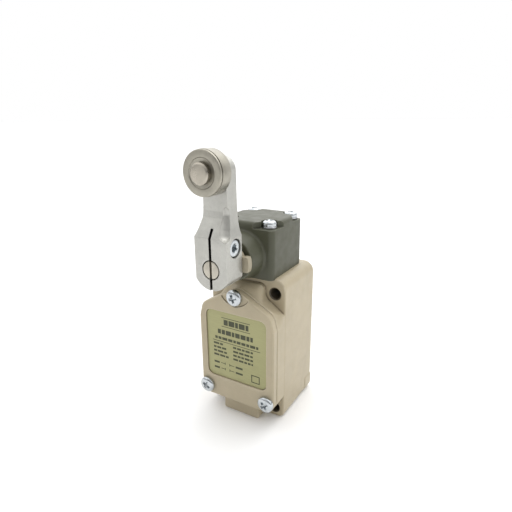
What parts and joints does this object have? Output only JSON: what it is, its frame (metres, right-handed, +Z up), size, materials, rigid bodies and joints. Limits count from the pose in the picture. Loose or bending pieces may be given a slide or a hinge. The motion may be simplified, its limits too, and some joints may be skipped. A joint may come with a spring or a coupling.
{
  "type": "roller lever limit switch",
  "caption": "Enclosed limit switch: a spring-returned roller lever on a square head turns a cam that presses a plunger onto a built-in contact block.",
  "frame": {"origin": "centre of the four mounting holes, on the rear mounting face", "axes": "+X to the right seen from the front, +Y out of the rear mounting face (the cover faces -Y), +Z up towards the roller"},
  "size_m": [0.0398, 0.0632, 0.127],
  "materials": {
    "beige_enamel": "satin stove enamel over die-cast aluminium, slightly uneven",
    "grey_enamel": "satin dark green-grey enamel over die-cast zinc",
    "cast_aluminium": "tumbled casting, matt",
    "steel": "turned and sintered steel, fine machining marks",
    "zinc_plated_steel": "bright zinc plate",
    "spring_steel": "drawn wire and stamped spring steel",
    "brass": "machined",
    "cream_plastic": "moulded",
    "black_plastic": "moulded",
    "red_phenolic": "moulded phenolic",
    "black_rubber": "nitrile rubber",
    "olive_plate": "printed foil, blank, satin",
    "fibre_sheet": "vulcanised fibre"
  },
  "bodies": {
    "case_body": {"case": "beige_enamel", "cover": "beige_enamel", "head_housing": "grey_enamel", "cover_screw_top": "zinc_plated_steel", "cover_screw_left": "zinc_plated_steel", "cover_screw_right": "zinc_plated_steel", "head_screw_1": "zinc_plated_steel", "head_screw_2": "zinc_plated_steel", "head_screw_3": "zinc_plated_steel", "head_screw_4": "zinc_plated_steel", "terminal_screw_1": "zinc_plated_steel", "terminal_screw_2": "zinc_plated_steel", "terminal_screw_3": "zinc_plated_steel", "terminal_screw_4": "zinc_plated_steel", "switch_screw_1": "zinc_plated_steel", "switch_screw_2": "zinc_plated_steel", "ground_screw": "zinc_plated_steel", "lock_washer_1": "spring_steel", "lock_washer_2": "spring_steel", "lock_washer_3": "spring_steel", "lock_washer_4": "spring_steel", "return_spring": "spring_steel", "contact_spring": "spring_steel", "shaft_bush": "brass", "plunger_guide": "brass", "terminal_1": "brass", "terminal_2": "brass", "terminal_3": "brass", "terminal_4": "brass", "switch_front": "black_plastic", "switch_body": "red_phenolic", "cover_gasket": "black_rubber", "head_gasket": "black_rubber", "shaft_seal": "black_rubber", "plunger_seal": "black_rubber", "name_plate": "olive_plate", "cover_insulator": "fibre_sheet"},
    "lever_body": {"shaft": "steel", "cam": "steel", "cam_pin": "steel", "retaining_ring": "spring_steel", "lever": "cast_aluminium", "clamp_bolt": "zinc_plated_steel", "position_plate": "cream_plastic", "roller_pin": "steel"},
    "roller_body": {"roller": "steel"},
    "plunger_body": {"plunger": "steel"},
    "contact_body": {"switch_button": "black_plastic", "contact_bridge": "brass"}
  },
  "joints": [
    {"name": "lever_swing", "type": "hinge", "parent": "case_body", "child": "lever_body", "pos_m": [0, -0.0176, 0.04625], "axis": [0, 1, 0], "range_deg": [-85, 85], "stiffness_Nm_per_rad": 0.2},
    {"name": "roller_spin", "type": "hinge", "parent": "lever_body", "child": "roller_body", "pos_m": [0, -0.0578, 0.08425], "axis": [0, 1, 0], "continuous": true},
    {"name": "plunger_slide", "type": "slide", "parent": "case_body", "child": "plunger_body", "axis": [0, 0, -1], "range_m": [-0.0015, 0.0015], "deforming": ["return_spring"]},
    {"name": "contact_slide", "type": "slide", "parent": "case_body", "child": "contact_body", "axis": [0, 0, -1], "range_m": [-0.0015, 0.0015], "deforming": ["contact_spring"]}
  ],
  "couplings": [
    {"joint": "plunger_slide", "follows": "lever_swing", "m_per_rad": 0.001},
    {"joint": "contact_slide", "follows": "lever_swing", "m_per_rad": 0.001}
  ]
}
